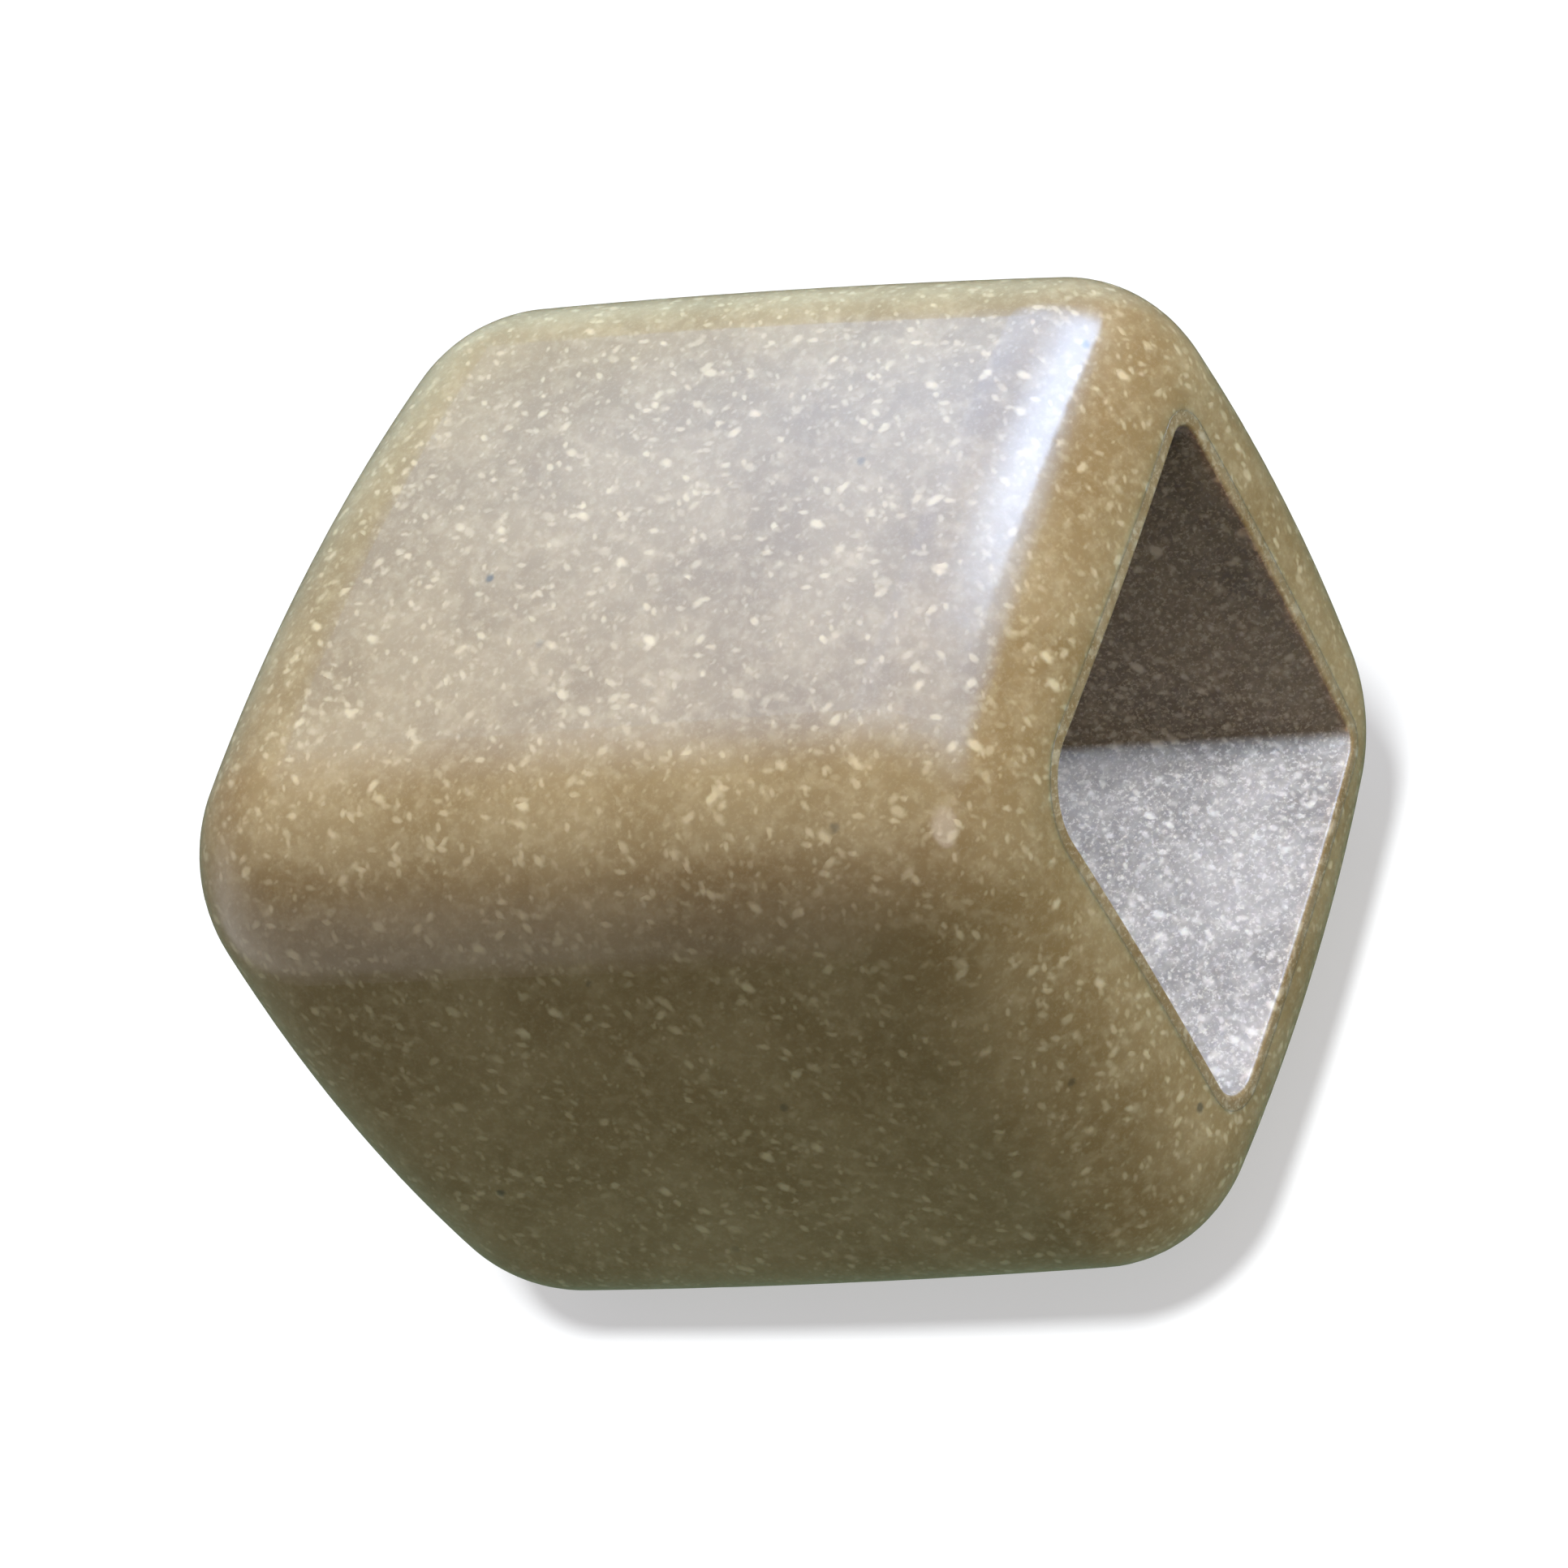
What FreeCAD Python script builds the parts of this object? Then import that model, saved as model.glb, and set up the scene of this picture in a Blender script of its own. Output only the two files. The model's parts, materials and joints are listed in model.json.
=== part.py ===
"""Open-mouthed rock tumbler barrel on its spindle unit: one STEP file per piece, in parts/.

Millimetres. The barrel turns about the X axis, with its mouth towards +X, and lies on its side, so
that +Z is up. The origin is on that axis, on the face of the bearing housing that bolts to a machine.
"""
import FreeCAD, Part
import math
import os

os.makedirs("parts", exist_ok=True)

Vector = FreeCAD.Vector
ORIGIN = Vector(0, 0, 0)
ALONG = Vector(1, 0, 0)
QUARTER_CORNERS = ((1, 1), (-1, 1), (-1, -1), (1, -1))

# Used all over: how far a cut passes a face, gaps round loose parts, and broken edges
CUT_PAST = 1.0
LOOSE_FIT = 0.2
LEAD_IN = 0.5
SMALL_CHAMFER = 0.3
EDGE_CHAMFER = 0.8

# Barrel moulding: a crowned near-cube with drafted, bowed sides and a domed rear and mouth end
BARREL_REAR = 20.0
BARREL_LENGTH = 120.0
END_DOME = 3.0
HALF_WIDTH = 51.8
HALF_HEIGHT = 47.5
SIDE_CROWN = 4.2
LENGTH_CROWN = 0.8
WIDTH_DRAFT = 2.5
HEIGHT_DRAFT = 1.9
LONG_EDGE_R = 23.0
REAR_EDGE_R = 22.5
MOUTH_EDGE_R = 17.8
SECTION_OVERRUN = 1.1
END_ZONE = 0.9

# Chamber and what lines it
CHAMBER_HALF = 30.7
# radius of each lengthwise corner, after its sides of the Y and Z axes
CHAMBER_CORNERS = ((1, 1, 4.5), (-1, 1, 8.5), (-1, -1, 6.5), (1, -1, 2.0))
LINER_WALL = 2.0
LIP_ROUND = 0.5
CHAMBER_FLOOR = 48.0
PLATE_HALF = 27.0
PLATE_CORNER_R = 6.0
PLATE_THICK = 2.5
PAD_THICK = 10.0
PAD_POCKET_GAP = 0.8

# Hub and the bolts that hold the barrel to it
RECESS_R = 29.0
HUB_BACK = 28.0
HUB_FACE = 35.0
HUB_R = 28.0
HUB_BOSS_R = 12.0
HUB_BOSS_END = 41.0
HUB_SEAT_END = 36.5
SCREW_POCKET_R = 7.5
SCREW_LONG = 13.4
GASKET_THICK = 1.0
BOLT_CIRCLE_R = 21.0
BOLT_COUNT = 4
FIRST_BOLT_ANGLE = 45.0
BOLT_R = 2.5
BOLT_HOLE_R = 2.75
BOLT_HEAD_R = 4.75
BOLT_HEAD_HIGH = 2.75
HEAD_CURVE_SHARE = 0.35
HEAD_SHOULDER_SHARE = 0.86
HEAD_CROWN_SHARE = 0.6
BOLT_END = 29.0
WASHER_R = 5.2
WASHER_THICK = 1.2
SOCKET_ACROSS = 3.0
SOCKET_DEEP = 1.6

# Spindle
DRIVE_END = -17.0
DRIVE_R = 4.0
DRIVE_FLAT_DEEP = 0.5
DRIVE_FLAT_LONG = 10.0
JOURNAL_R = 5.0
JOURNAL_START = -1.0
SEAL_LAND_R = 6.0
SPINDLE_FRONT = 36.3
KEY_WIDE = 3.0
KEY_LONG = 7.0
KEY_BOTTOM = 3.2
KEY_TOP = 6.2

# Bearings: a pair of 10 x 22 x 6 mm deep-groove ball bearings
BEARING_R = 11.0
BEARING_WIDE = 6.0
REAR_BEARING = 3.0
SPACER_LONG = 4.0
INNER_SHOULDER_R = 6.95
OUTER_SHOULDER_R = 9.1
PITCH_R = 8.0
BALL_R = 1.5875
BALL_COUNT = 9
FIRST_BALL_ANGLE = 90.0
RACE_R = 1.65
RACE_CLEARANCE = 0.02
SHIELD_THICK = 0.25
SHIELD_INSET = 0.2
SHIELD_INNER_R = 7.15
SHIELD_OUTER_R = 9.6
CAGE_INNER_R = 7.3
CAGE_OUTER_R = 8.7
CAGE_BACK = 2.3
CAGE_PRONG = 1.2
CAGE_CLEARANCE = 0.1

# Bearing housing
HOUSING_R = 23.0
HOUSING_FLAT = 19.0
FLANGE_LONG = 14.0
NOSE_R = 15.0
NOSE_END = 24.0
SPIGOT_R = 13.0
SPIGOT_LONG = 2.5
LIP_BORE_R = 9.0
MOUNT_CIRCLE_R = 18.0
MOUNT_HOLE_R = 2.1
MOUNT_HOLE_DEEP = 11.0
CIRCLIP_THICK = 1.0
CIRCLIP_LUG_R = 1.3
BORE_GROOVE_R = 11.5
BORE_CLIP_R = 9.7
BORE_CLIP_GAP = 34.0
SHAFT_GROOVE_R = 4.8
SHAFT_CLIP_R = 6.4
SHAFT_CLIP_GAP = 16.0
SHAFT_CLIP_START = 1.9

# Rotary seal and the flinger in front of it
SEAL_START = 20.2
SEAL_LONG = 3.6
SEAL_CASE_WALL = 0.6
SEAL_BOND_R = 8.6
SEAL_RUNNING_CLEARANCE = 0.05
LIP_EDGE_AT = 1.6
LIP_ROOT_R = 7.2
LIP_BACK_AT = 0.6
LIP_BACK_R = 7.0
LIP_WAIST_R = 8.0
GARTER_SEAT_AT = 1.1
GARTER_SEAT_END = 1.9
GARTER_SEAT_R = 7.3
GARTER_R = 7.75
GARTER_WIRE_R = 0.45
FLINGER_START = 24.6
FLINGER_LONG = 1.6
FLINGER_EDGE = 0.6
FLINGER_COLLAR_R = 8.0
FLINGER_R = 12.0

# Places that follow from the sizes above
BARREL_MOUTH = BARREL_REAR + BARREL_LENGTH
BARREL_MIDDLE = BARREL_REAR + BARREL_LENGTH / 2
HALF_LENGTH = BARREL_LENGTH / 2 - END_DOME
FRONT_BEARING = REAR_BEARING + BEARING_WIDE + SPACER_LONG
BEARINGS_END = FRONT_BEARING + BEARING_WIDE
GASKET_FACE = HUB_FACE + GASKET_THICK
LINER_FLOOR = CHAMBER_FLOOR + LINER_WALL
PLATE_FACE = LINER_FLOOR + PLATE_THICK
BOLT_HEAD = PLATE_FACE + WASHER_THICK


def rod(start, end, radius):
    """Round bar about the X axis."""
    return Part.makeCylinder(radius, end - start, Vector(start, 0, 0), ALONG)


def ring(start, end, outer_r, inner_r):
    """Round bar with a bore."""
    return rod(start, end, outer_r).cut(rod(start, end, inner_r))


def turned(outline):
    """Solid of revolution about X from a closed outline of (x, radius) corners."""
    corners = [Vector(x, 0, radius) for x, radius in outline]
    face = Part.Face(Part.makePolygon(corners + corners[:1]))
    return face.revolve(ORIGIN, ALONG, 360)


def bar(start, end, half_wide, half_high, corner_r):
    """Square bar about the X axis with rounded long edges."""
    block = Part.makeBox(
        end - start, 2 * half_wide, 2 * half_high, Vector(start, -half_wide, -half_high)
    )
    return block.makeFillet(corner_r, edges_along_x(block))


def chamber_bar(start, end, outset):
    """Bar with the chamber's section, grown outwards by outset."""
    half = CHAMBER_HALF + outset
    block = Part.makeBox(end - start, 2 * half, 2 * half, Vector(start, -half, -half))
    for side, top, corner_r in CHAMBER_CORNERS:
        corner = Vector((start + end) / 2, side * half, top * half)
        nearest = min(block.Edges, key=lambda edge: edge.CenterOfMass.distanceToPoint(corner))
        block = block.makeFillet(corner_r + outset, [nearest])
    return block


def hexagon(start, end, across):
    """Six-sided bar about the X axis, sized across its flats."""
    radius = across / math.sqrt(3)
    corners = []
    for step in range(7):
        angle = math.radians(60 * step)
        corners.append(Vector(start, radius * math.cos(angle), radius * math.sin(angle)))
    return Part.Face(Part.makePolygon(corners)).extrude(Vector(end - start, 0, 0))


def around(shape, count, radius, first_angle=0.0):
    """Copies of a shape, moved out to a radius and spaced evenly about the X axis."""
    copies = []
    for step in range(count):
        angle = first_angle + 360.0 * step / count
        copy = shape.copy()
        copy.translate(Vector(0, radius, 0))
        copy.rotate(ORIGIN, ALONG, angle)
        copies.append(copy)
    return copies


def edges_along_x(shape):
    """Edges that run over more than half of the length."""
    found = []
    for edge in shape.Edges:
        ends = [vertex.Point for vertex in edge.Vertexes]
        if len(ends) == 2 and abs(ends[0].x - ends[1].x) > 0.5 * shape.BoundBox.XLength:
            found.append(edge)
    return found


def chamfered(shape, size, is_chosen):
    """Shape with a chamfer on the circular edges that is_chosen accepts, by place and radius."""
    chosen = []
    for edge in shape.Edges:
        curve = edge.Curve
        if isinstance(curve, Part.Circle) and is_chosen(curve.Center.x, curve.Radius):
            chosen.append(edge)
    return shape.makeChamfer(size, chosen)


def on_bolt_circle(shape):
    """A copy of the shape at each of the hub's bolts."""
    return around(shape, BOLT_COUNT, BOLT_CIRCLE_R, FIRST_BOLT_ANGLE)


def with_bolt_holes(shape, start, end, radius):
    """Shape with the hub's bolt holes through it, from start to end."""
    for hole in on_bolt_circle(rod(start - CUT_PAST, end + CUT_PAST, radius)):
        shape = shape.cut(hole)
    return shape


# ---- barrel moulding and lining ----


def pillow_section(station):
    """Bowed-sided square at a station: -1 is the rear edge, 0 the middle and 1 the mouth edge."""
    wide = HALF_WIDTH - WIDTH_DRAFT * station - LENGTH_CROWN * station**2
    high = HALF_HEIGHT - HEIGHT_DRAFT * station - LENGTH_CROWN * station**2
    x = BARREL_MIDDLE + HALF_LENGTH * station
    corners = [Vector(x, side * wide, top * high) for side, top in QUARTER_CORNERS]
    crowns = [
        Vector(x, 0, high + SIDE_CROWN),
        Vector(x, -wide - SIDE_CROWN, 0),
        Vector(x, 0, -high - SIDE_CROWN),
        Vector(x, wide + SIDE_CROWN, 0),
    ]
    sides = []
    for index in range(4):
        arc = Part.Arc(corners[index], crowns[index], corners[(index + 1) % 4])
        sides.append(arc.toShape())
    return Part.Wire(sides)


def end_ball(apex, direction):
    """Large ball whose surface domes one end: direction is 1 at the mouth and -1 at the rear."""
    reach = math.hypot(HALF_WIDTH, HALF_HEIGHT)
    radius = (reach**2 + END_DOME**2) / (2 * END_DOME)
    centre = Vector(apex - direction * radius, 0, 0)
    ball = Part.makeSphere(radius, centre)
    if direction > 0:
        # turns the ball's seam away from the end that it domes
        ball.rotate(centre, Vector(0, 0, 1), 180)
    return ball


def end_rim(block, direction):
    """Edges all round one end: direction is 1 at the mouth and -1 at the rear."""
    rim = []
    for edge in block.Edges:
        nearest = edge.BoundBox.XMin if direction > 0 else edge.BoundBox.XMax
        if direction * (nearest - BARREL_MIDDLE) > END_ZONE * HALF_LENGTH:
            rim.append(edge)
    return rim


def barrel_outside():
    """The moulding before anything is hollowed out of it."""
    sections = [pillow_section(station) for station in (-SECTION_OVERRUN, 0.0, SECTION_OVERRUN)]
    block = Part.makeLoft(sections, True, False)
    block = block.common(end_ball(BARREL_REAR, -1)).common(end_ball(BARREL_MOUTH, 1))
    block = block.makeFillet(LONG_EDGE_R, edges_along_x(block))
    block = block.makeFillet(REAR_EDGE_R, end_rim(block, -1))
    return block.makeFillet(MOUTH_EDGE_R, end_rim(block, 1))


def barrel_body():
    """Thick moulding: square bore from the mouth, round recess and hub pocket from the rear."""
    body = barrel_outside().cut(chamber_bar(CHAMBER_FLOOR, BARREL_MOUTH + CUT_PAST, LINER_WALL))
    body = body.cut(rod(BARREL_REAR - CUT_PAST, GASKET_FACE, RECESS_R))
    body = body.cut(rod(GASKET_FACE, HUB_BOSS_END + LOOSE_FIT, HUB_BOSS_R + LOOSE_FIT))
    return with_bolt_holes(body, GASKET_FACE, CHAMBER_FLOOR, BOLT_HOLE_R)


def wear_liner():
    """Thin square cup whose lip follows the domed mouth, with a small round on its inner edge."""
    cup = chamber_bar(CHAMBER_FLOOR, BARREL_MOUTH + CUT_PAST, LINER_WALL)
    cup = cup.cut(chamber_bar(LINER_FLOOR, BARREL_MOUTH + 2 * CUT_PAST, 0))
    cup = cup.common(end_ball(BARREL_MOUTH, 1))
    lip = []
    for edge in cup.Edges:
        box = edge.BoundBox
        at_mouth = box.XMin > BARREL_MOUTH - 2 * END_DOME
        reach = max(box.YMax, -box.YMin, box.ZMax, -box.ZMin)
        if at_mouth and reach < CHAMBER_HALF + LINER_WALL / 2:
            lip.append(edge)
    cup = cup.makeFillet(LIP_ROUND, lip)
    return with_bolt_holes(cup, CHAMBER_FLOOR, LINER_FLOOR, BOLT_HOLE_R)


def clamp_plate():
    """Steel plate on the liner's floor."""
    plate = bar(LINER_FLOOR, PLATE_FACE, PLATE_HALF, PLATE_HALF, PLATE_CORNER_R)
    return with_bolt_holes(plate, LINER_FLOOR, PLATE_FACE, BOLT_HOLE_R)


def floor_pad():
    """Rubber pad that covers the plate and the bolt heads."""
    pad = chamber_bar(LINER_FLOOR, LINER_FLOOR + PAD_THICK, -LOOSE_FIT)
    plate_room = PLATE_HALF + LOOSE_FIT
    pad = pad.cut(bar(LINER_FLOOR - CUT_PAST, PLATE_FACE, plate_room, plate_room, PLATE_CORNER_R))
    pocket_end = BOLT_HEAD + BOLT_HEAD_HIGH + LOOSE_FIT
    for pocket in on_bolt_circle(rod(PLATE_FACE, pocket_end, BOLT_HEAD_R + PAD_POCKET_GAP)):
        pad = pad.cut(pocket)
    return pad


# ---- hub and its fasteners ----


def button_screw(head_face, end):
    """Button-head socket screw along X, with its head towards +X."""
    top = head_face + BOLT_HEAD_HIGH
    curve = HEAD_CURVE_SHARE * BOLT_HEAD_HIGH
    screw = turned([
        (end, 0),
        (end, BOLT_R - LEAD_IN),
        (end + LEAD_IN, BOLT_R),
        (head_face, BOLT_R),
        (head_face, BOLT_HEAD_R),
        (head_face + curve, BOLT_HEAD_R),
        (top - curve, HEAD_SHOULDER_SHARE * BOLT_HEAD_R),
        (top, HEAD_CROWN_SHARE * BOLT_HEAD_R),
        (top, 0),
    ])
    return screw.cut(hexagon(top - SOCKET_DEEP, top + CUT_PAST, SOCKET_ACROSS))


def hub_bolts():
    """Four screws from the chamber into the hub."""
    return Part.makeCompound(on_bolt_circle(button_screw(BOLT_HEAD, BOLT_END)))


def sealing_washers():
    """One bonded washer under each bolt head."""
    return Part.makeCompound(on_bolt_circle(ring(PLATE_FACE, BOLT_HEAD, WASHER_R, BOLT_R + LOOSE_FIT)))


def floor_gasket():
    """Flat ring between hub and barrel."""
    gasket = ring(HUB_FACE, GASKET_FACE, HUB_R, HUB_BOSS_R + LOOSE_FIT)
    return with_bolt_holes(gasket, HUB_FACE, GASKET_FACE, BOLT_HOLE_R)


def key_slot():
    """Space that the key fills, in hub and spindle alike."""
    corner = Vector(HUB_BACK, -KEY_WIDE / 2, KEY_BOTTOM)
    return Part.makeBox(KEY_LONG, KEY_WIDE, KEY_TOP - KEY_BOTTOM, corner)


def hub_flange():
    """Round plate with a forward boss that holds the spindle's end and its screw."""
    hub = rod(HUB_BACK, HUB_FACE, HUB_R).fuse(rod(HUB_FACE, HUB_BOSS_END, HUB_BOSS_R))
    hub = hub.removeSplitter()
    hub = chamfered(hub, EDGE_CHAMFER, lambda x, r: r == HUB_R)
    hub = hub.cut(rod(HUB_BACK - CUT_PAST, HUB_SEAT_END, JOURNAL_R))
    hub = hub.cut(rod(HUB_SEAT_END, HUB_BOSS_END + CUT_PAST, SCREW_POCKET_R))
    hub = hub.cut(key_slot())
    return with_bolt_holes(hub, HUB_BACK, HUB_FACE, BOLT_R)


def hub_screw_washer():
    """Washer that bridges from the spindle's end to the hub."""
    end = HUB_SEAT_END + WASHER_THICK
    return ring(HUB_SEAT_END, end, SCREW_POCKET_R - LOOSE_FIT, BOLT_R + LOOSE_FIT)


def hub_screw():
    """Screw into the spindle's end."""
    return button_screw(HUB_SEAT_END + WASHER_THICK, HUB_SEAT_END + WASHER_THICK - SCREW_LONG)


# ---- spindle ----


def spindle():
    """Stepped shaft: flatted drive end, bearing journal, seal land and keyed hub seat."""
    shaft = turned([
        (DRIVE_END, 0),
        (DRIVE_END, DRIVE_R - LEAD_IN),
        (DRIVE_END + LEAD_IN, DRIVE_R),
        (JOURNAL_START, DRIVE_R),
        (JOURNAL_START, JOURNAL_R - SMALL_CHAMFER),
        (JOURNAL_START + SMALL_CHAMFER, JOURNAL_R),
        (BEARINGS_END, JOURNAL_R),
        (BEARINGS_END, SEAL_LAND_R),
        (HUB_BACK, SEAL_LAND_R),
        (HUB_BACK, JOURNAL_R),
        (SPINDLE_FRONT - SMALL_CHAMFER, JOURNAL_R),
        (SPINDLE_FRONT, JOURNAL_R - SMALL_CHAMFER),
        (SPINDLE_FRONT, 0),
    ])
    shaft = shaft.cut(rod(SPINDLE_FRONT - SCREW_LONG, SPINDLE_FRONT + CUT_PAST, BOLT_R))
    groove_end = SHAFT_CLIP_START + CIRCLIP_THICK
    shaft = shaft.cut(ring(SHAFT_CLIP_START, groove_end, JOURNAL_R + CUT_PAST, SHAFT_GROOVE_R))
    shaft = shaft.cut(key_slot())
    flat_corner = Vector(DRIVE_END, -DRIVE_R, DRIVE_R - DRIVE_FLAT_DEEP)
    return shaft.cut(Part.makeBox(DRIVE_FLAT_LONG, 2 * DRIVE_R, DRIVE_R, flat_corner))


def circlip(start, groove_r, free_r, gap_angle):
    """Open spring ring with two drilled lugs: groove_r is its edge in the groove, free_r the other."""
    outer = max(groove_r, free_r)
    end = start + CIRCLIP_THICK
    clip = ring(start, end, outer, min(groove_r, free_r))
    # each lug stands a little proud of the free edge, away from the groove
    proud = CIRCLIP_LUG_R / 3
    lug_at = free_r + proud if free_r > groove_r else free_r - proud
    lug_angle = gap_angle / 2 + math.degrees(CIRCLIP_LUG_R / lug_at)
    for side in (-1, 1):
        lug = rod(start, end, CIRCLIP_LUG_R)
        hole = rod(start - CUT_PAST, end + CUT_PAST, CIRCLIP_LUG_R / 2)
        for piece in (lug, hole):
            piece.translate(Vector(0, 0, lug_at))
            piece.rotate(ORIGIN, ALONG, side * lug_angle)
        clip = clip.fuse(lug).cut(hole)
    reach = outer + 2 * CIRCLIP_LUG_R
    slit = math.radians(gap_angle / 2)
    corners = [
        Vector(start, 0, 0),
        Vector(start, -reach * math.sin(slit), reach * math.cos(slit)),
        Vector(start, reach * math.sin(slit), reach * math.cos(slit)),
    ]
    wedge = Part.Face(Part.makePolygon(corners + corners[:1])).extrude(Vector(CIRCLIP_THICK, 0, 0))
    return clip.cut(wedge)


def shaft_circlip():
    """Ring on the spindle, behind the rear bearing."""
    return circlip(SHAFT_CLIP_START, SHAFT_GROOVE_R, SHAFT_CLIP_R, SHAFT_CLIP_GAP)


def bore_circlip():
    """Ring in the housing, in front of the front bearing."""
    return circlip(BEARINGS_END, BORE_GROOVE_R, BORE_CLIP_R, BORE_CLIP_GAP)


def flinger():
    """Rubber collar with a thin disc, tight on the spindle."""
    end = FLINGER_START + FLINGER_LONG
    return turned([
        (FLINGER_START, SEAL_LAND_R),
        (FLINGER_START, FLINGER_COLLAR_R),
        (FLINGER_START + FLINGER_EDGE, FLINGER_COLLAR_R),
        (end - FLINGER_EDGE, FLINGER_R),
        (end, FLINGER_R),
        (end, SEAL_LAND_R),
    ])


# ---- bearings ----


def race(start, radius_of_ring):
    """Ring of space that a ball track leaves, centred on the bearing."""
    middle = start + BEARING_WIDE / 2
    return Part.makeTorus(radius_of_ring, RACE_R, Vector(middle, 0, 0), ALONG)


def inner_ring(start):
    """Grooved ring on the spindle."""
    body = ring(start, start + BEARING_WIDE, INNER_SHOULDER_R, JOURNAL_R)
    track_centre = PITCH_R - BALL_R - RACE_CLEARANCE + RACE_R
    return body.cut(race(start, track_centre))


def outer_ring(start):
    """Grooved ring in the housing, with a small groove for each shield."""
    body = ring(start, start + BEARING_WIDE, BEARING_R, OUTER_SHOULDER_R)
    track_centre = PITCH_R + BALL_R + RACE_CLEARANCE - RACE_R
    body = body.cut(race(start, track_centre))
    for shield in shields(start).Solids:
        body = body.cut(shield)
    return body


def shields(start):
    """Two thin discs that close the bearing."""
    near = start + SHIELD_INSET
    far = start + BEARING_WIDE - SHIELD_INSET - SHIELD_THICK
    discs = [ring(x, x + SHIELD_THICK, SHIELD_OUTER_R, SHIELD_INNER_R) for x in (near, far)]
    return Part.makeCompound(discs)


def balls(start):
    """Set of balls on the pitch circle."""
    ball = Part.makeSphere(BALL_R, Vector(start + BEARING_WIDE / 2, 0, 0))
    return Part.makeCompound(around(ball, BALL_COUNT, PITCH_R, FIRST_BALL_ANGLE))


def cage(start):
    """Crown cage: a ring with a pocket for each ball, open towards -X."""
    middle = start + BEARING_WIDE / 2
    crown = ring(middle - CAGE_PRONG, middle + CAGE_BACK, CAGE_OUTER_R, CAGE_INNER_R)
    depth = CAGE_OUTER_R - CAGE_INNER_R
    pocket = Part.makeCylinder(
        BALL_R + CAGE_CLEARANCE, 2 * depth, Vector(middle, -depth, 0), Vector(0, 1, 0)
    )
    for pocket_copy in around(pocket, BALL_COUNT, PITCH_R, FIRST_BALL_ANGLE):
        crown = crown.cut(pocket_copy)
    return crown


# ---- housing and seal ----


def bearing_housing():
    """Cartridge with a locating spigot, a bearing bore and a flange with tapped holes and four flats."""
    outside = turned([
        (-SPIGOT_LONG, 0),
        (-SPIGOT_LONG, SPIGOT_R - LEAD_IN),
        (-SPIGOT_LONG + LEAD_IN, SPIGOT_R),
        (0, SPIGOT_R),
        (0, HOUSING_R - EDGE_CHAMFER),
        (EDGE_CHAMFER, HOUSING_R),
        (FLANGE_LONG - EDGE_CHAMFER, HOUSING_R),
        (FLANGE_LONG, HOUSING_R - EDGE_CHAMFER),
        (FLANGE_LONG, NOSE_R),
        (NOSE_END - EDGE_CHAMFER, NOSE_R),
        (NOSE_END, NOSE_R - EDGE_CHAMFER),
        (NOSE_END, 0),
    ])
    square_corner = Vector(-SPIGOT_LONG, -HOUSING_FLAT, -HOUSING_FLAT)
    square = Part.makeBox(SPIGOT_LONG + NOSE_END, 2 * HOUSING_FLAT, 2 * HOUSING_FLAT, square_corner)
    housing = outside.common(square)
    housing = housing.cut(rod(-SPIGOT_LONG - CUT_PAST, NOSE_END + CUT_PAST, LIP_BORE_R))
    housing = housing.cut(rod(REAR_BEARING, NOSE_END + CUT_PAST, BEARING_R))
    housing = housing.cut(rod(BEARINGS_END, BEARINGS_END + CIRCLIP_THICK, BORE_GROOVE_R))
    hole = rod(-CUT_PAST, MOUNT_HOLE_DEEP, MOUNT_HOLE_R)
    for hole_copy in around(hole, BOLT_COUNT, MOUNT_CIRCLE_R, FIRST_BOLT_ANGLE):
        housing = housing.cut(hole_copy)
    return housing


def seal_case():
    """Pressed steel cup that holds the seal in the housing."""
    end = SEAL_START + SEAL_LONG
    return turned([
        (SEAL_START, BEARING_R),
        (end, BEARING_R),
        (end, SEAL_BOND_R),
        (end - SEAL_CASE_WALL, SEAL_BOND_R),
        (end - SEAL_CASE_WALL, BEARING_R - SEAL_CASE_WALL),
        (SEAL_START, BEARING_R - SEAL_CASE_WALL),
    ])


def seal_lip():
    """Rubber lip that runs on the spindle's seal land."""
    end = SEAL_START + SEAL_LONG
    return turned([
        (end, SEAL_BOND_R),
        (end, LIP_ROOT_R),
        (SEAL_START + LIP_EDGE_AT, SEAL_LAND_R + SEAL_RUNNING_CLEARANCE),
        (SEAL_START + LIP_BACK_AT, LIP_BACK_R),
        (SEAL_START + GARTER_SEAT_AT, GARTER_SEAT_R),
        (SEAL_START + GARTER_SEAT_END, GARTER_SEAT_R),
        (end - SEAL_CASE_WALL, LIP_WAIST_R),
        (end - SEAL_CASE_WALL, SEAL_BOND_R),
    ])


def seal_garter_spring():
    """Coil spring round the lip, as a plain ring."""
    middle = SEAL_START + (GARTER_SEAT_AT + GARTER_SEAT_END) / 2
    return Part.makeTorus(GARTER_R, GARTER_WIRE_R, Vector(middle, 0, 0), ALONG)


def spacer(outer_r, inner_r):
    """Sleeve between the two bearings."""
    return ring(REAR_BEARING + BEARING_WIDE, FRONT_BEARING, outer_r, inner_r)


PIECES = {
    "barrel_body": barrel_body(),
    "wear_liner": wear_liner(),
    "floor_pad": floor_pad(),
    "clamp_plate": clamp_plate(),
    "hub_bolts": hub_bolts(),
    "sealing_washers": sealing_washers(),
    "floor_gasket": floor_gasket(),
    "hub_flange": hub_flange(),
    "hub_key": key_slot(),
    "hub_screw": hub_screw(),
    "hub_screw_washer": hub_screw_washer(),
    "spindle": spindle(),
    "flinger": flinger(),
    "shaft_circlip": shaft_circlip(),
    "bore_circlip": bore_circlip(),
    "inner_ring_spacer": spacer(INNER_SHOULDER_R, JOURNAL_R),
    "outer_ring_spacer": spacer(BEARING_R, OUTER_SHOULDER_R),
    "bearing_housing": bearing_housing(),
    "seal_case": seal_case(),
    "seal_lip": seal_lip(),
    "seal_garter_spring": seal_garter_spring(),
}
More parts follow.
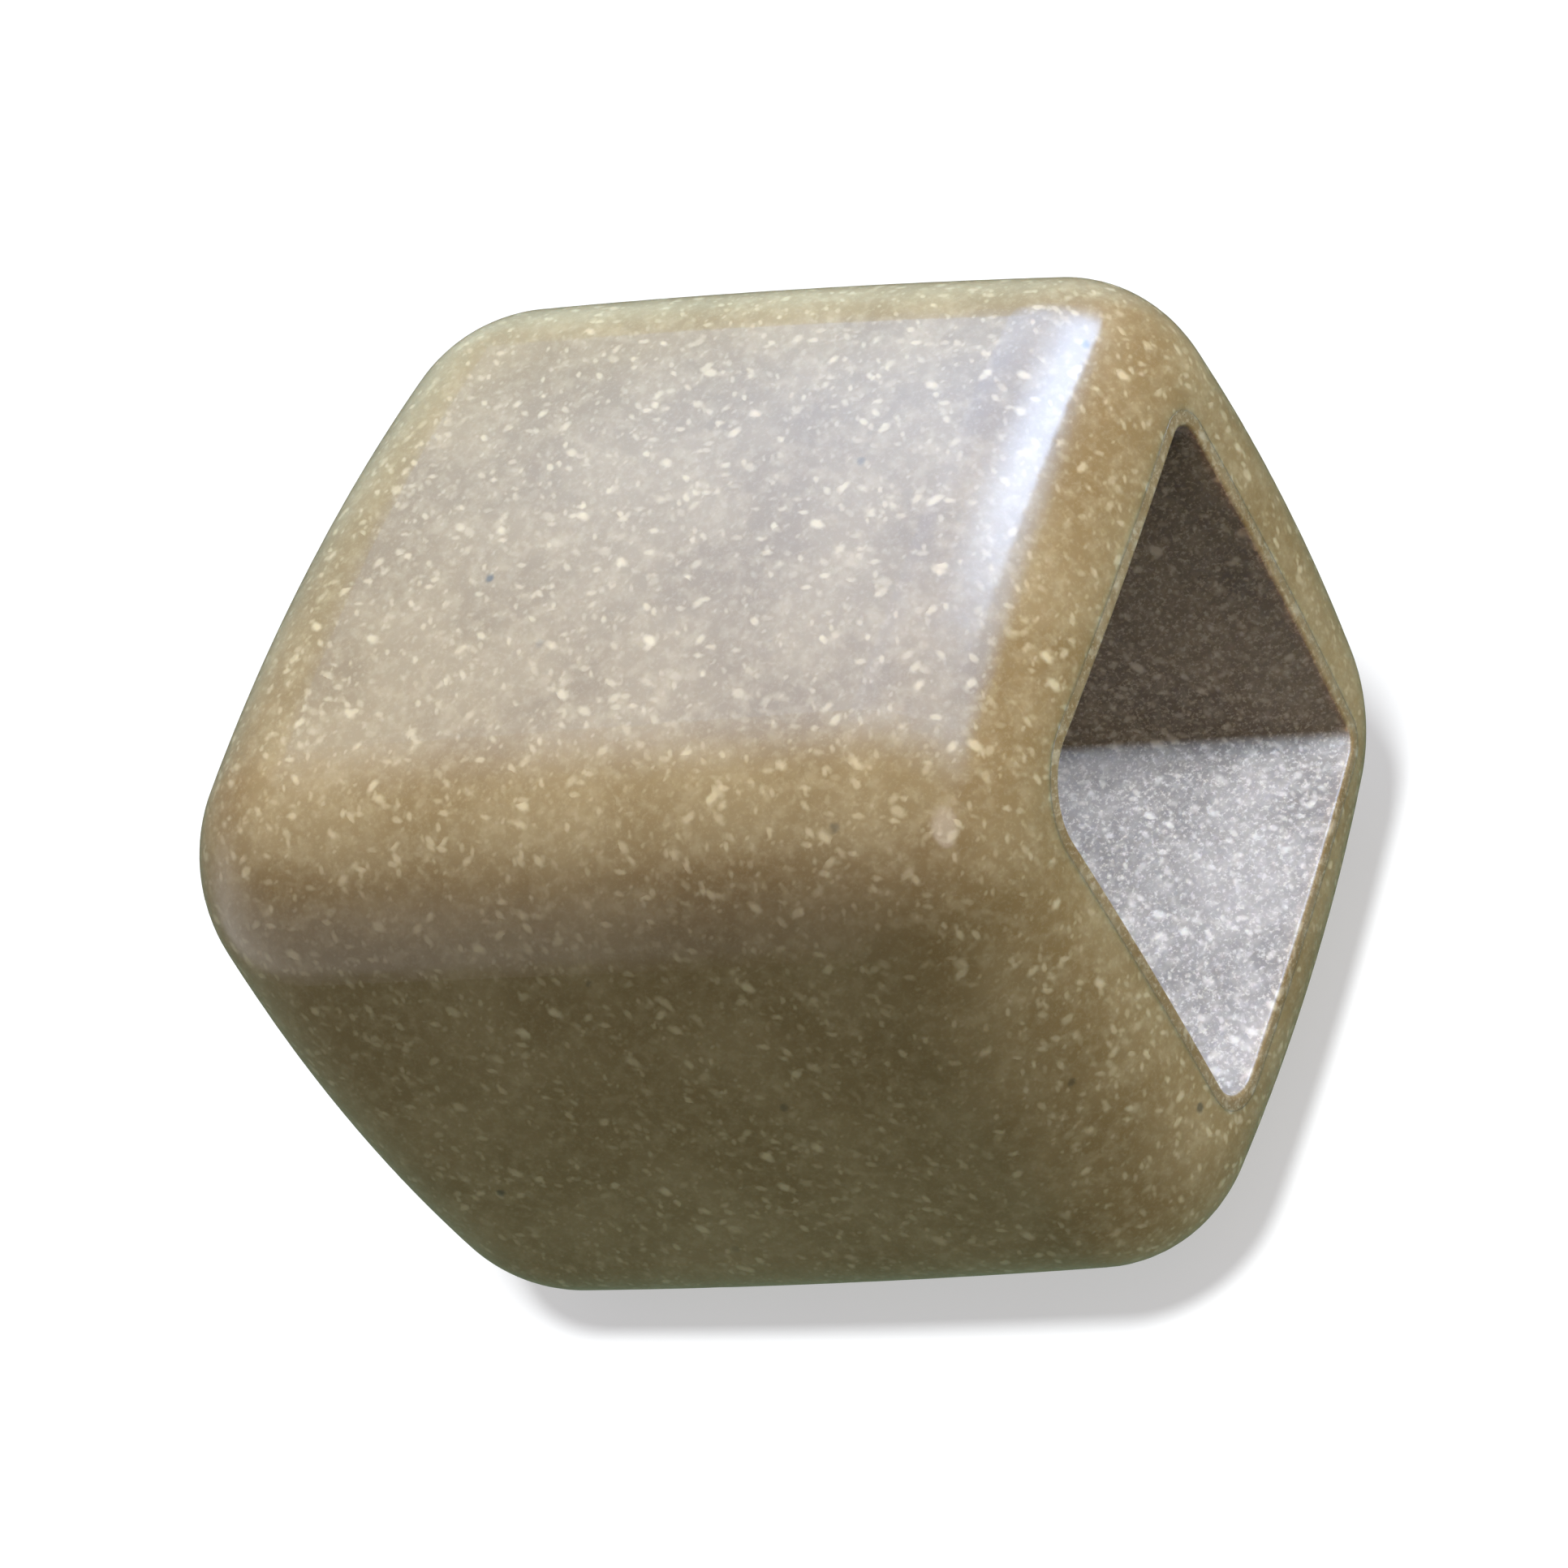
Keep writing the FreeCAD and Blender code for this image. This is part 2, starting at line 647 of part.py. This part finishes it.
for side, start in (("rear", REAR_BEARING), ("front", FRONT_BEARING)):
    PIECES[side + "_bearing_inner_ring"] = inner_ring(start)
    PIECES[side + "_bearing_outer_ring"] = outer_ring(start)
    PIECES[side + "_bearing_shields"] = shields(start)
    PIECES[side + "_bearing_balls"] = balls(start)
    PIECES[side + "_bearing_cage"] = cage(start)

for node, shape in PIECES.items():
    shape.exportStep("parts/" + node + ".step")
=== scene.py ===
"""Looks of the flake-filled tumbling barrel and its spindle unit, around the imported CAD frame."""
import json
import math

import bpy
from mathutils import Matrix, Vector


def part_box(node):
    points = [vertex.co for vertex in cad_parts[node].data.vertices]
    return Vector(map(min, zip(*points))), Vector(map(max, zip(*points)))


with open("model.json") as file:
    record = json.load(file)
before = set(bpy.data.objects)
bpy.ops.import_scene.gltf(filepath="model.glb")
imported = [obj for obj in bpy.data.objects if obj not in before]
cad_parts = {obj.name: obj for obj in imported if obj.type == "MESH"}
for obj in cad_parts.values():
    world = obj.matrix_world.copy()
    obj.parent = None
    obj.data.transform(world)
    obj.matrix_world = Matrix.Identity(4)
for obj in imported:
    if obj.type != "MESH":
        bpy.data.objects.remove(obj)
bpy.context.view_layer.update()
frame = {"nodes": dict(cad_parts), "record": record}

MM = 0.001
NODES = frame["nodes"]

# ---- places taken from the frame ----

BODY_LOW, BODY_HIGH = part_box("barrel_body")
MOUTH_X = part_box("wear_liner")[1].x
BARREL_MIDDLE = Vector(((BODY_LOW.x + BODY_HIGH.x) / 2, 0, 0))
FLOOR_Z = BODY_LOW.z

# ---- view of the photograph ----

VIEW_AZIMUTH = 42.93
VIEW_ELEVATION = 39.26
VIEW_ROLL = 33.51
VIEW_DISTANCE = 541.4 * MM
VIEW_LENS = 95.6
VIEW_NEAR, VIEW_FAR = 0.01, 50.0
VIEW_AIM = Vector((78.0, -0.5, 1.2)) * MM


# ---- node trees, written as short calls ----


class Graph:
    """A node tree with short calls that add nodes and return their outputs."""

    def __init__(self, tree):
        self.tree = tree

    def node(self, kind, inputs=None, **settings):
        """Adds a node, sets its properties, and links or sets its inputs."""
        made = self.tree.nodes.new(kind)
        for key, value in settings.items():
            setattr(made, key, value)
        for key, value in (inputs or {}).items():
            self.feed(made.inputs[key], value)
        return made

    def feed(self, socket, value):
        """Links an output to a socket, or sets the socket's own value."""
        if isinstance(value, bpy.types.NodeSocket):
            self.tree.links.new(value, socket)
        else:
            socket.default_value = value

    def math(self, operation, first, second=0.0, third=0.0):
        """One arithmetic step."""
        made = self.node("ShaderNodeMath", {0: first, 1: second, 2: third}, operation=operation)
        return made.outputs[0]

    def span(self, value, low, high, out_low=0.0, out_high=1.0):
        """Maps a value from one span to another, clamped, with smooth ends."""
        inputs = {
            "Value": value,
            "From Min": low,
            "From Max": high,
            "To Min": out_low,
            "To Max": out_high,
        }
        made = self.node("ShaderNodeMapRange", inputs, interpolation_type="SMOOTHSTEP")
        return made.outputs["Result"]

    def product(self, *values):
        """Product of several values."""
        total = values[0]
        for value in values[1:]:
            total = self.math("MULTIPLY", total, value)
        return total

    def blend(self, share, first, second):
        """Mixes two colours."""
        made = self.node("ShaderNodeMix", data_type="RGBA")
        self.feed(made.inputs[0], share)
        self.feed(made.inputs[6], first)
        self.feed(made.inputs[7], second)
        return made.outputs[2]

    def parts(self, vector):
        """X, Y and Z of a vector."""
        return self.node("ShaderNodeSeparateXYZ", {0: vector}).outputs


class Finish(Graph):
    """A surface material: its node tree, its surface shader and the object's own coordinates."""

    def __init__(self, name):
        self.material = bpy.data.materials.new(name)
        self.material.use_nodes = True
        super().__init__(self.material.node_tree)
        self.shader = self.tree.nodes["Principled BSDF"]
        self.place = self.node("ShaderNodeTexCoord").outputs["Object"]
        self.own_normal = self.node("ShaderNodeTexCoord").outputs["Normal"]

    def noise(self, size, detail=2.0, roughness=0.5, place=None):
        """Cloudy noise whose features are about size metres across."""
        inputs = {
            "Vector": self.place if place is None else place,
            "Scale": 1.0 / size,
            "Detail": detail,
            "Roughness": roughness,
        }
        return self.node("ShaderNodeTexNoise", inputs).outputs["Fac"]

    def own_place(self, lay):
        """Object coordinates, as a lay function rearranges them."""
        return self.place if lay is None else lay(self)

    def drawn_out(self, place, along, stretch, shift=0.0):
        """Coordinates whose Z axis lies along a direction, in which patterns look drawn out."""
        inputs = {
            "Vector": place,
            "Location": (shift, 2 * shift, 3 * shift),
            "Rotation": Vector(along).to_track_quat("Z", "Y").to_euler(),
            "Scale": (1.0, 1.0, stretch),
        }
        return self.node("ShaderNodeMapping", inputs, vector_type="TEXTURE").outputs[0]

    def shaken(self, place, size, reach):
        """Coordinates that a noise moves a little, so that regular shapes become ragged."""
        drift = self.node("ShaderNodeTexNoise", {"Vector": place, "Scale": 1.0 / size, "Detail": 1.0})
        inputs = {0: drift.outputs["Color"], 1: (2 * reach, 2 * reach, 2 * reach), 2: place}
        return self.node("ShaderNodeVectorMath", inputs, operation="MULTIPLY_ADD").outputs[0]

    def bump(self, height, distance, strength=1.0):
        """Adds a bump to the surface's normal."""
        inputs = {"Height": height, "Distance": distance, "Strength": strength}
        made = self.node("ShaderNodeBump", inputs)
        self.feed(self.shader.inputs["Normal"], made.outputs["Normal"])

    def set(self, **inputs):
        """Feeds the surface shader's inputs, named with underscores for spaces."""
        for key, value in inputs.items():
            self.feed(self.shader.inputs[key.replace("_", " ")], value)


# ---- flake-filled resin ----

CLOUD_SIZE = 14 * MM
MOTTLE_SIZE = 1.9 * MM
FINE_SIZE = 0.55 * MM
RAGGED_SIZE = 0.9 * MM
RAGGED_REACH = 0.22 * MM
# every pattern is drawn out along about the photograph's view, in which the flakes then look round
FLOW = Vector((0.53, -0.57, 0.63))
FLOW_STRETCH = 2.2
# how far a flake reaches from its cell's middle, in cells, and the share of that where it is whole
FLAKE_EDGE = 0.38
FLAKE_CORE_SHARE = 0.3
# brightness of the faintest flake, where the brightest is 1
FAINTEST_FLAKE = 0.25
FLAKE_LAYERS = (
    # cell size in mm, share of cells, stretch, angle of the flakes' length across the flow, strength
    (0.9, 0.40, 1.5, 20, 0.35),
    (1.2, 0.34, 1.8, 65, 0.55),
    (1.35, 0.32, 2.0, 140, 0.60),
    (1.5, 0.28, 2.0, 95, 0.65),
    (1.8, 0.22, 1.8, 10, 0.70),
    (2.2, 0.17, 1.7, 115, 0.85),
)
GRIT_CELL = 4.4 * MM
GRIT_SHARE = 0.045
GRIT_STRETCH = 1.2
GRIT_ANGLE = 40
GRIT_EDGE = 0.18
GRIT_STRENGTH = 0.85
GRIT_COLOUR = (0.03, 0.03, 0.03, 1)
# the lining's painted silver sheen is bright down to one depth behind the mouth, and dimmed by painted
# shade beyond the other
PAINTED_LIGHT_DEPTH = 20 * MM
PAINTED_SHADE_DEPTH = 50 * MM
PAINTED_LIGHT_SILVER = 0.92
PAINTED_SHADE_SILVER = 0.70
AMBER = {
    "deep": (0.335, 0.240, 0.112, 1),
    "pale": (0.415, 0.318, 0.172, 1),
    "flake": (0.86, 0.77, 0.54, 1),
}
# painted light on the lining: a silver sheen painted on the wall that faces up
PAINTED_SHEEN_SILVER = {
    "deep": (0.34, 0.34, 0.36, 1),
    "pale": (0.48, 0.48, 0.51, 1),
    "flake": (0.98, 0.98, 1.0, 1),
}
# painted shade on the lining's walls that do not face up
SHADED = {
    "deep": (0.122, 0.075, 0.024, 1),
    "pale": (0.174, 0.112, 0.038, 1),
    "flake": (0.58, 0.47, 0.31, 1),
}
# the lip's amber, darkened as painted shade where the chamber lamp lights it strongly
LIP_AMBER_WITH_PAINTED_SHADE = {
    "deep": (0.157, 0.113, 0.053, 1),
    "pale": (0.195, 0.149, 0.081, 1),
    "flake": (0.39, 0.36, 0.27, 1),
}


def flakes(finish, place, size, share, stretch, angle, edge=FLAKE_EDGE):
    """Mask of small specks: a share of the random cells holds one, each of its own brightness."""
    turn = math.radians(angle)
    place = finish.drawn_out(place, (math.cos(turn), math.sin(turn), 0), stretch, angle)
    cells = finish.node("ShaderNodeTexVoronoi", {"Vector": place, "Scale": 1.0 / size})
    chance = finish.node("ShaderNodeSeparateColor", {0: cells.outputs["Color"]}).outputs
    speck = finish.span(cells.outputs["Distance"], edge, edge * FLAKE_CORE_SHARE)
    picked = finish.math("GREATER_THAN", chance[0], 1.0 - share)
    bright = finish.math("MULTIPLY_ADD", chance[1], 1.0 - FAINTEST_FLAKE, FAINTEST_FLAKE)
    return finish.product(speck, picked, bright)


def flake_resin(finish, colours, amount, sparkle):
    """Base colour of clear resin crowded with fine pale flakes and a few dark grains."""
    flow = finish.drawn_out(finish.place, FLOW, FLOW_STRETCH)
    cloud = finish.noise(CLOUD_SIZE, 3.0, 0.55, flow)
    mottle = finish.noise(MOTTLE_SIZE, 2.0, 0.6, flow)
    fine = finish.noise(FINE_SIZE, 2.0, 0.7, flow)
    ragged = finish.shaken(flow, RAGGED_SIZE, RAGGED_REACH)
    base = finish.blend(finish.span(cloud, 0.36, 0.64), colours["deep"], colours["pale"])
    base = finish.blend(finish.span(mottle, 0.40, 0.75, 0.0, 0.20), base, colours["flake"])
    base = finish.blend(finish.span(fine, 0.48, 0.72, 0.0, sparkle), base, colours["flake"])
    for size, share, stretch, angle, strength in FLAKE_LAYERS:
        mask = flakes(finish, ragged, size * MM, share * amount, stretch, angle)
        base = finish.blend(finish.math("MULTIPLY", mask, strength), base, colours["flake"])
    grit = flakes(finish, ragged, GRIT_CELL, GRIT_SHARE, GRIT_STRETCH, GRIT_ANGLE, GRIT_EDGE)
    return finish.blend(finish.math("MULTIPLY", grit, GRIT_STRENGTH), base, GRIT_COLOUR)


def polished_resin(finish):
    """Clear gloss over the flakes, with light that spreads a little way inside."""
    finish.set(
        Roughness=0.42,
        Specular_IOR_Level=0.2,
        Subsurface_Weight=0.7,
        Subsurface_Radius=(1.0, 0.62, 0.30),
        Subsurface_Scale=3.5 * MM,
        Coat_Roughness=0.08,
        Coat_IOR=1.5,
    )


def barrel_finish(name):
    """Outside of the barrel: polished, with the faint ripple of a moulding."""
    finish = Finish(name)
    finish.set(Base_Color=flake_resin(finish, AMBER, 1.0, 0.12), Coat_Weight=0.9)
    polished_resin(finish)
    ripple = finish.noise(11 * MM, 2.0)
    fine = finish.noise(1.1 * MM, 2.0)
    finish.bump(finish.math("MULTIPLY_ADD", fine, 0.08, ripple), 0.35 * MM, 0.6)
    return finish.material


def lining_finish(name):
    """Chamber lining with light and shade painted by facing: a painted silver sheen on the wall that faces
    up, painted shade on the walls that face elsewhere, the sheen dimmed by painted shade down the bore,
    and a lip in the barrel's amber, darkened as painted shade.
    """
    finish = Finish(name)
    normal = finish.parts(finish.own_normal)
    # share of the lip, whose amber is darkened as painted shade
    lip = finish.span(normal[0], 0.15, 0.60)
    # share of the painted silver sheen, on walls that face up; painted shade elsewhere
    painted_sheen_share = finish.span(normal[2], -0.20, 0.80)
    along = finish.parts(finish.place)[0]
    painted_shade_end, painted_light_end = MOUTH_X - PAINTED_SHADE_DEPTH, MOUTH_X - PAINTED_LIGHT_DEPTH
    # the silver sheen fades down the bore: painted shade deeper in
    light = finish.span(along, painted_shade_end, painted_light_end, PAINTED_SHADE_SILVER, PAINTED_LIGHT_SILVER)
    colours = {}
    for key in AMBER:
        silver = finish.blend(light, (0, 0, 0, 1), PAINTED_SHEEN_SILVER[key])
        wall = finish.blend(painted_sheen_share, SHADED[key], silver)
        colours[key] = finish.blend(lip, wall, LIP_AMBER_WITH_PAINTED_SHADE[key])
    finish.set(Base_Color=flake_resin(finish, colours, 1.5, 0.55), Coat_Weight=0.4)
    polished_resin(finish)
    finish.bump(finish.noise(0.9 * MM, 2.0), 0.04 * MM, 0.8)
    return finish.material


# ---- rubber and plastic ----

RUBBERS = {
    # slot: colour, dust, size of the grain in mm, roughness
    "black_rubber": ((0.016, 0.016, 0.017, 1), (0.075, 0.070, 0.064, 1), 0.35, 0.58),
    "gasket_rubber": ((0.040, 0.036, 0.032, 1), (0.100, 0.090, 0.078, 1), 0.22, 0.70),
}


def rubber(name, colour, dust, grain, roughness):
    """Moulded or sheet rubber: a fine matt grain and a film of pale dust in clouds."""
    finish = Finish(name)
    cloud = finish.noise(7 * MM, 5.0, 0.65)
    pores = finish.noise(grain, 2.0, 0.6)
    finish.set(
        Base_Color=finish.blend(finish.span(cloud, 0.40, 0.80, 0.0, 0.6), colour, dust),
        Roughness=finish.span(cloud, 0.3, 0.7, roughness - 0.08, roughness + 0.12),
        Specular_IOR_Level=0.4,
    )
    finish.bump(pores, 0.05 * MM, 0.7)
    return finish.material


def cage_plastic(name):
    """Natural polyamide: waxy and slightly see-through, with faint flow marks."""
    finish = Finish(name)
    flow = finish.noise(1.8 * MM, 4.0, 0.6, finish.drawn_out(finish.place, (0.3, 0.1, 0.9), 3.0))
    finish.set(
        Base_Color=finish.blend(flow, (0.66, 0.60, 0.46, 1), (0.80, 0.76, 0.64, 1)),
        Roughness=finish.span(flow, 0.3, 0.7, 0.34, 0.46),
        Subsurface_Weight=0.4,
        Subsurface_Scale=0.8 * MM,
    )
    finish.bump(finish.noise(0.35 * MM), 0.01 * MM, 0.6)
    return finish.material


# ---- metals ----


def metal(name, colour, tarnish, roughness, marks, depth, place=None):
    """Bare or coated metal: clouds of tarnish, and machining marks in colour, roughness and bump."""
    finish = Finish(name)
    lay = finish.own_place(place)
    cloud = finish.noise(8 * MM, 5.0, 0.65)
    lines = finish.noise(marks, 3.0, 0.7, lay)
    shade = finish.blend(finish.span(cloud, 0.35, 0.75), colour, tarnish)
    finish.set(
        Base_Color=finish.blend(finish.span(lines, 0.35, 0.75, 0.0, 0.35), shade, tarnish),
        Metallic=1.0,
        Roughness=finish.math(
            "ADD",
            finish.span(cloud, 0.3, 0.7, roughness * 0.8, roughness * 1.15),
            finish.span(lines, 0.3, 0.7, 0.0, 0.08),
        ),
    )
    finish.bump(lines, depth, 0.7)
    return finish.material


def turned(finish):
    """Coordinates for rings round the bore's axis: along it on cylinders, outward on end faces."""
    x, y, z = finish.parts(finish.place)[:3]
    square = finish.math("ADD", finish.math("MULTIPLY", y, y), finish.math("MULTIPLY", z, z))
    radius = finish.math("SQRT", square)
    return finish.node("ShaderNodeCombineXYZ", {0: x, 1: radius}).outputs[0]


def brushed(finish):
    """Coordinates for straight lines across the barrel."""
    made = finish.node("ShaderNodeMapping", {"Vector": finish.place, "Scale": (1.0, 0.03, 1.0)})
    return made.outputs[0]


METALS = {
    # slot: colour, tarnish, roughness, width and depth of the machining marks in mm, their lay
    "machined_aluminium": ((0.84, 0.85, 0.86, 1), (0.62, 0.63, 0.65, 1), 0.30, 0.30, 0.010, turned),
    "turned_steel": ((0.60, 0.59, 0.58, 1), (0.40, 0.39, 0.38, 1), 0.27, 0.24, 0.008, turned),
    "bearing_steel": ((0.68, 0.68, 0.69, 1), (0.56, 0.56, 0.57, 1), 0.13, 0.12, 0.002, turned),
    "shield_steel": ((0.62, 0.62, 0.63, 1), (0.46, 0.46, 0.47, 1), 0.34, 0.50, 0.003, turned),
    "plate_steel": ((0.64, 0.64, 0.65, 1), (0.46, 0.46, 0.46, 1), 0.32, 0.18, 0.006, brushed),
    "spring_steel": ((0.075, 0.075, 0.082, 1), (0.035, 0.032, 0.030, 1), 0.42, 0.40, 0.004, None),
    "plated_fastener": ((0.74, 0.76, 0.79, 1), (0.66, 0.63, 0.52, 1), 0.24, 0.60, 0.003, None),
}


def finish_of_slot(slot):
    """Builds the finish that the record's material slot names."""
    if slot == "flake_resin":
        return barrel_finish("amber_flake_resin")
    if slot == "flake_liner":
        return lining_finish("flake_lining_with_painted_sheen")
    if slot == "cage_polymer":
        return cage_plastic(slot)
    if slot in RUBBERS:
        colour, dust, grain, roughness = RUBBERS[slot]
        return rubber(slot, colour, dust, grain * MM, roughness)
    colour, tarnish, roughness, marks, depth, lay = METALS[slot]
    return metal(slot, colour, tarnish, roughness, marks * MM, depth * MM, lay)


def dress_nodes():
    """Gives every CAD node the finish of the material slot that the record names for it."""
    made = {}
    for part in frame["record"]["subparts"]:
        slot = part["material_slot"]
        if slot not in made:
            made[slot] = finish_of_slot(slot)
        slots = NODES[part["node"]].data.materials
        slots.clear()
        slots.append(made[slot])


# ---- studio ----

GLINT = Vector((0.83, -0.40, 0.39)).normalized()
# light that surfaces receive from below and from above
LOW_LIGHT = (0.125, 0.165, 0.110, 1)
HIGH_LIGHT = (0.345, 0.295, 0.275, 1)
MIRRORED = {
    # What polished surfaces mirror over that light, each over the one before: its colour, and its limits.
    # A limit is a measure of the direction, where the thing begins to show, and where it shows fully.
    "roof": (
        (1.5, 1.4, 1.0, 1),
        (("z", 0.36, 0.70),),
    ),
    "screen": (
        (0.95, 0.94, 0.92, 1),
        (("x", -0.35, -0.60), ("y", 0.15, -0.20), ("z", -0.50, -0.30), ("z", 0.45, 0.10)),
    ),
    "horizon": (
        (0.75, 1.05, 1.00, 1),
        (("x", -1.00, -0.66), ("x", 0.15, -0.15), ("y", 0.25, 0.55), ("z", -0.50, 0.10)),
    ),
    "sky": (
        (2.5, 4.1, 7.0, 1),
        (("x", -0.71, -0.33), ("y", -0.20, 0.72), ("z", 0.34, 0.58)),
    ),
    "window": (
        (9.5, 12.8, 19.0, 1),
        (
            ("slope", -0.15, 0.60),
            ("slope", 1.06, 0.86),
            ("y", 0.44, 0.68),
            ("y", 1.00, 0.72),
            ("z", 0.14, 0.30),
        ),
    ),
    "glint": (
        (5.0, 4.6, 4.4, 1),
        (("nearness", 0.975, 0.995),),
    ),
}
LAMP_DISTANCE = 1.2
SUN_SOFTNESS = 10.0
FLOOR_REACH = 6.0


def surroundings():
    """World: dim even light, soft-edged bright areas for reflections, and white for the camera."""
    world = bpy.data.worlds.new("studio")
    bpy.context.scene.world = world
    world.use_nodes = True
    world.node_tree.nodes.clear()
    graph = Graph(world.node_tree)
    place = graph.node("ShaderNodeTexCoord").outputs["Generated"]
    x, y, z = graph.parts(place)[:3]
    near = graph.node("ShaderNodeVectorMath", {0: place, 1: GLINT}, operation="DOT_PRODUCT")
    measures = {
        "x": x,
        "y": y,
        "z": z,
        "slope": graph.math("DIVIDE", x, z),
        "nearness": near.outputs["Value"],
    }
    even = graph.blend(graph.span(z, -0.8, 0.8), LOW_LIGHT, HIGH_LIGHT)
    mirrored = even
    for colour, limits in MIRRORED.values():
        shown = [graph.span(measures[name], begin, full) for name, begin, full in limits]
        mirrored = graph.blend(graph.product(*shown), mirrored, colour)
    path = graph.node("ShaderNodeLightPath").outputs
    light = graph.blend(path["Is Glossy Ray"], even, mirrored)
    light = graph.blend(path["Is Camera Ray"], light, (1, 1, 1, 1))
    back = graph.node("ShaderNodeBackground", {"Color": light})
    graph.node("ShaderNodeOutputWorld", {"Surface": back.outputs[0]})


def lamp_from(name, towards, size, brightness, state, receivers):
    """Lamp, not itself mirrored, that lights only the receivers (INCLUDE) or all but them (EXCLUDE).

    Brightness is what it gives a white surface that faces it. With no size it is as far off as the sun.
    """
    if size:
        data = bpy.data.lights.new(name, "AREA")
        data.size = size
        data.energy = brightness * (math.pi * LAMP_DISTANCE) ** 2
    else:
        data = bpy.data.lights.new(name, "SUN")
        data.angle = math.radians(SUN_SOFTNESS)
        data.energy = brightness * math.pi
    lamp = bpy.data.objects.new(name, data)
    bpy.context.scene.collection.objects.link(lamp)
    towards = Vector(towards).normalized()
    lamp.location = BARREL_MIDDLE + towards * LAMP_DISTANCE
    lamp.rotation_mode = "QUATERNION"
    lamp.rotation_quaternion = towards.to_track_quat("Z", "Y")
    lamp.visible_camera = False
    lamp.visible_glossy = False
    lamp.light_linking.receiver_collection = linked_items(name + "_receivers", receivers, state)
    return lamp


def linked_items(name, items, state):
    """Collection of the items that a lamp includes or excludes."""
    made = bpy.data.collections.new(name)
    for index, item in enumerate(items):
        made.objects.link(item)
        made.collection_objects[index].light_linking.link_state = state
    return made


def floor():
    """Wide pale floor under the barrel. It glows a little, so that shadows on it stay pale."""
    mesh = bpy.data.meshes.new("studio_floor")
    corners = [(-FLOOR_REACH, -FLOOR_REACH), (FLOOR_REACH, -FLOOR_REACH)]
    corners += [(FLOOR_REACH, FLOOR_REACH), (-FLOOR_REACH, FLOOR_REACH)]
    mesh.from_pydata([(x, y, FLOOR_Z) for x, y in corners], [], [(0, 1, 2, 3)])
    plane = bpy.data.objects.new("studio_floor", mesh)
    bpy.context.scene.collection.objects.link(plane)
    finish = Finish("pale_floor")
    finish.set(
        Base_Color=(0.53, 0.55, 0.56, 1),
        Roughness=0.8,
        Specular_IOR_Level=0.0,
        Emission_Color=(0.95, 0.96, 1.00, 1),
        Emission_Strength=0.46,
    )
    mesh.materials.append(finish.material)
    plane.visible_diffuse = False
    plane.visible_glossy = False
    return plane


def light_scene(ground, lining):
    """Lamps for the barrel's outside, and one each for the chamber and the floor, which those skip."""
    others = (ground, lining)
    lamp_from("key_lamp", (0.33, 0.33, 0.88), 0.4, 0.86, "EXCLUDE", others)
    lamp_from("side_lamp", (-0.90, 0.35, 0.25), 0.9, 0.35, "EXCLUDE", others)
    bounce = lamp_from("bounce_lamp", (0.88, 0.08, -0.47), 0.5, 0.31, "EXCLUDE", others)
    # the bounce comes from under the floor, which lets it through
    bounce.light_linking.blocker_collection = linked_items("bounce_blockers", (ground,), "EXCLUDE")
    lamp_from("chamber_lamp", (0.67, 0.02, 0.66), 0.4, 1.50, "INCLUDE", (lining,))
    lamp_from("floor_lamp", (0.14, -0.20, 0.97), None, 1.05, "INCLUDE", (ground,))


def direction(azimuth, elevation):
    """Unit vector towards a place at an azimuth (from -Y towards +X) and an elevation."""
    a, e = math.radians(azimuth), math.radians(elevation)
    return Vector((math.sin(a) * math.cos(e), -math.cos(a) * math.cos(e), math.sin(e)))


def camera():
    """Camera at the photograph's angle, rolled so that the barrel's axis lies level in the picture."""
    data = bpy.data.cameras.new("photo_camera")
    data.lens = VIEW_LENS
    data.clip_start, data.clip_end = VIEW_NEAR, VIEW_FAR
    eye = bpy.data.objects.new("photo_camera", data)
    bpy.context.scene.collection.objects.link(eye)
    back = direction(VIEW_AZIMUTH, VIEW_ELEVATION)
    level_right = direction(VIEW_AZIMUTH + 90, 0)
    right = Matrix.Rotation(math.radians(-VIEW_ROLL), 3, back) @ level_right
    up = back.cross(right)
    axes = Matrix((right, up, back)).transposed().to_4x4()
    eye.matrix_world = Matrix.Translation(VIEW_AIM + back * VIEW_DISTANCE) @ axes
    bpy.context.scene.camera = eye


dress_nodes()
surroundings()
light_scene(floor(), NODES["wear_liner"])
camera()
bpy.context.scene.view_settings.view_transform = "Standard"
